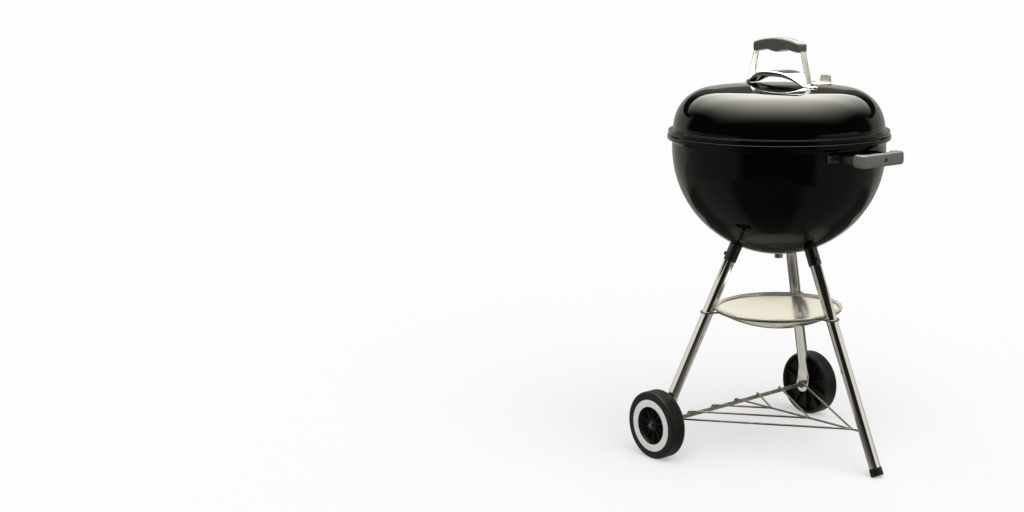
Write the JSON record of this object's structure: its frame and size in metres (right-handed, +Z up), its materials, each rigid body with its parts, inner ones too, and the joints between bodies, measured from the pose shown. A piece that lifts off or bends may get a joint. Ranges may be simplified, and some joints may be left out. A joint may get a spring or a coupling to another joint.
{
  "type": "kettle charcoal grill",
  "caption": "Round enamelled charcoal grill with lift-off domed lid, grates, bottom sweeper, ash catcher and a three-legged stand on wheels.",
  "frame": {"origin": "on the floor, under the middle of the footprint box; the kettle's axis stands 34 mm towards +Y", "axes": "+Z up; -Y is the front, where the single capped leg and the bowl handle are; X lies along the axle"},
  "size_m": [0.537, 0.5626, 0.931],
  "materials": {
    "enamel": "gloss black porcelain enamel",
    "chrome_legs": "bright plated tube",
    "bright_steel": "bright plated strip and wire",
    "grate_steel": "plated steel rod",
    "dull_steel": "plain steel, satin",
    "ash_aluminium": "satin spun aluminium",
    "damper_aluminium": "satin aluminium",
    "grey_nylon": "fine-grained reinforced nylon",
    "tab_plastic": "fine-grained nylon",
    "black_steel": "satin black enamel",
    "black_plastic": "moulded plastic",
    "wheel_plastic": "moulded plastic, fine sheen",
    "ring_plastic": "pale moulded plastic"
  },
  "bodies": {
    "stand_and_bowl": {"bowl": "enamel", "grate_brackets": "dull_steel", "leg_sockets": "black_steel", "leg_screws": "black_steel", "bowl_handle_bracket": "black_steel", "bowl_handle_grip": "grey_nylon", "bowl_handle_screw": "black_steel", "cooking_grate": "grate_steel", "charcoal_grate": "grate_steel", "leg_front": "chrome_legs", "leg_left": "chrome_legs", "leg_right": "chrome_legs", "leg_cap": "black_plastic", "axle": "dull_steel", "axle_push_nuts": "black_steel", "bottom_rack": "grate_steel", "ash_ring": "grate_steel", "ash_catcher": "ash_aluminium"},
    "lid": {"lid": "enamel", "lid_hook": "dull_steel", "lid_handle_bracket": "bright_steel", "lid_handle_grip": "grey_nylon", "lid_handle_bolts": "bright_steel", "lid_handle_nuts": "dull_steel", "heat_shield": "bright_steel", "damper_rivet": "damper_aluminium"},
    "damper": {"damper_disc": "damper_aluminium", "damper_tab": "tab_plastic"},
    "sweeper": {"sweeper": "dull_steel", "sweeper_shaft": "dull_steel", "sweeper_nut": "dull_steel", "sweeper_lever": "dull_steel", "sweeper_knob": "black_plastic"},
    "wheel_left": {"wheel_left": "wheel_plastic", "wheel_ring_left": "ring_plastic"},
    "wheel_right": {"wheel_right": "wheel_plastic", "wheel_ring_right": "ring_plastic"}
  },
  "joints": [
    {"name": "lid_lift", "type": "slide", "parent": "stand_and_bowl", "child": "lid", "axis": [0, 0, 1], "range_m": [0, 0.17]},
    {"name": "damper_turn", "type": "hinge", "parent": "lid", "child": "damper", "pos_m": [0.108, 0.0343, 0.82562], "axis": [0.0809, 0, 0.9967], "range_deg": [0, 45]},
    {"name": "sweeper_turn", "type": "hinge", "parent": "stand_and_bowl", "child": "sweeper", "pos_m": [0, 0.0343, 0.453], "axis": [0, 0, 1], "range_deg": [0, 60]},
    {"name": "wheel_left_spin", "type": "hinge", "parent": "stand_and_bowl", "child": "wheel_left", "pos_m": [-0.248, 0.16953, 0.0765], "axis": [1, 0, 0], "continuous": true},
    {"name": "wheel_right_spin", "type": "hinge", "parent": "stand_and_bowl", "child": "wheel_right", "pos_m": [0.248, 0.16953, 0.0765], "axis": [1, 0, 0], "continuous": true}
  ]
}
